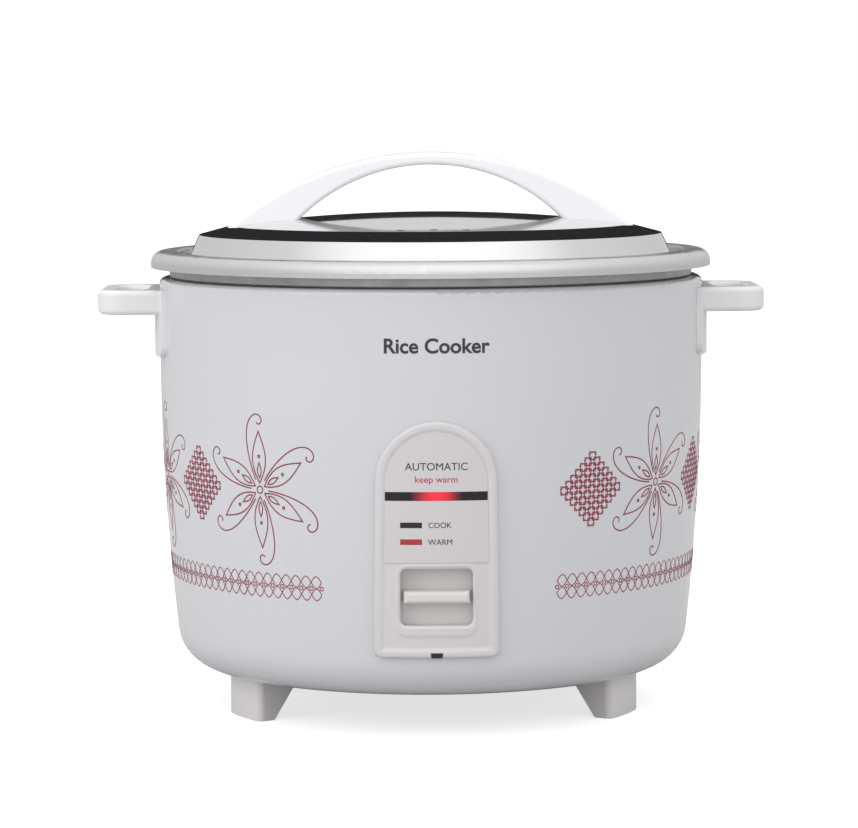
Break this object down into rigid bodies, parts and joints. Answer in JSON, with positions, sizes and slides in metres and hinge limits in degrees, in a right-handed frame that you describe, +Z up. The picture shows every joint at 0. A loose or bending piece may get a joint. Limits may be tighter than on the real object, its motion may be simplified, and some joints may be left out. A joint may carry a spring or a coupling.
{
  "type": "rice cooker",
  "caption": "Drum-shaped electric rice cooker with a lift-out pan, a domed lid with an arched grip, side handles, short feet and a front panel with a slide switch.",
  "frame": {"origin": "on the ground under the drum's axis", "axes": "+Z up, -Y the front with the switch, +X towards the handle on a viewer's right"},
  "size_m": [0.32, 0.2706, 0.2678],
  "materials": {
    "white_body": "smooth gloss enamel with a printed pattern",
    "white_plastic": "smooth moulded",
    "panel_plastic": "smooth moulded",
    "label_film": "satin printed film",
    "foot_plastic": "fine-grained moulded",
    "black_plastic": "moulded",
    "knob_plastic": "smooth moulded",
    "stainless": "mirror-polished stainless steel",
    "pan_aluminium": "satin anodised",
    "plate_aluminium": "turned casting",
    "liner_steel": "galvanised sheet",
    "base_steel": "black-coated sheet",
    "zinc_steel": "zinc plated",
    "spring_steel": "drawn wire",
    "ferrite": "sintered",
    "ceramic": "unglazed",
    "brass": "plain",
    "dark_lens": "tinted translucent",
    "red_lens": "tinted translucent",
    "lamp_glass": "clear neon lamp",
    "live_sleeve": "wire insulation",
    "neutral_sleeve": "wire insulation",
    "earth_sleeve": "wire insulation"
  },
  "bodies": {
    "housing": {"body_shell": "white_body", "inner_liner": "liner_steel", "base_plate": "base_steel", "base_strap": "zinc_steel", "base_strap_screws": "zinc_steel", "base_stud": "zinc_steel", "base_nut": "black_plastic", "foot_front_left": "foot_plastic", "foot_front_right": "foot_plastic", "foot_rear_left": "foot_plastic", "foot_rear_right": "foot_plastic", "foot_screws": "zinc_steel", "left_side_handle": "white_plastic", "right_side_handle": "white_plastic", "side_handle_screws": "zinc_steel", "control_panel": "panel_plastic", "panel_label": "label_film", "panel_clip": "black_plastic", "panel_screws": "zinc_steel", "indicator_lens": "dark_lens", "cook_lens": "dark_lens", "warm_lens": "red_lens", "lamp_holder": "white_plastic", "pilot_lamp": "lamp_glass", "cook_lamp": "lamp_glass", "warm_lamp": "lamp_glass", "heater_plate": "plate_aluminium", "heater_element": "zinc_steel", "heater_posts": "zinc_steel", "heater_screws": "zinc_steel", "thermostat_housing": "zinc_steel", "thermostat_screws": "zinc_steel", "thermal_fuse": "ceramic", "fuse_clip": "zinc_steel", "warm_thermostat": "ceramic", "clip_screws": "zinc_steel", "terminal_block": "ceramic", "inlet_housing": "black_plastic", "inlet_power_pins": "brass", "inlet_earth_pin": "brass", "inlet_screws": "zinc_steel", "live_wire": "live_sleeve", "neutral_wire": "neutral_sleeve", "earth_wire": "earth_sleeve", "lever_pin": "zinc_steel", "microswitch": "black_plastic", "microswitch_screws": "zinc_steel", "magnet_spring": "spring_steel", "sensor_spring": "spring_steel"},
    "pan": {"cooking_pan": "pan_aluminium"},
    "lid": {"lid_shell": "stainless", "lid_handle": "white_plastic", "lid_handle_screws": "zinc_steel"},
    "lever": {"lever_arm": "zinc_steel"},
    "knob": {"switch_knob": "knob_plastic"},
    "magnet": {"magnet": "ferrite", "magnet_rod": "zinc_steel"},
    "plunger": {"microswitch_plunger": "red_lens"},
    "sensor": {"sensor_cap": "plate_aluminium", "ferrite_disc": "ferrite"}
  },
  "joints": [
    {"name": "pan_lift", "type": "slide", "parent": "housing", "child": "pan", "axis": [0, 0, 1], "range_m": [0, 0.15]},
    {"name": "lid_lift", "type": "slide", "parent": "pan", "child": "lid", "axis": [0, 0, 1], "range_m": [0, 0.06]},
    {"name": "lever_swing", "type": "hinge", "parent": "housing", "child": "lever", "pos_m": [0, -0.035, 0.052], "axis": [1, 0, 0], "range_deg": [0, 5.27], "stiffness_Nm_per_rad": 0.25, "springref_deg": -14.32},
    {"name": "knob_press", "type": "slide", "parent": "housing", "child": "knob", "axis": [0, 0, -1], "range_m": [0, 0.0076]},
    {"name": "magnet_rise", "type": "slide", "parent": "housing", "child": "magnet", "axis": [0, 0, 1], "range_m": [0, 0.0033], "deforming": ["magnet_spring"]},
    {"name": "plunger_press", "type": "slide", "parent": "housing", "child": "plunger", "axis": [0, 0, -1], "range_m": [0, 0.0014]},
    {"name": "sensor_give", "type": "slide", "parent": "housing", "child": "sensor", "axis": [0, 0, 1], "range_m": [-0.0008, 0], "stiffness_N_per_m": 400, "springref_m": 0.004, "deforming": ["sensor_spring"]}
  ],
  "couplings": [
    {"joint": "knob_press", "follows": "lever_swing", "m_per_rad": 0.0795},
    {"joint": "magnet_rise", "follows": "lever_swing", "m_per_rad": 0.035},
    {"joint": "plunger_press", "follows": "lever_swing", "m_per_rad": 0.014}
  ]
}
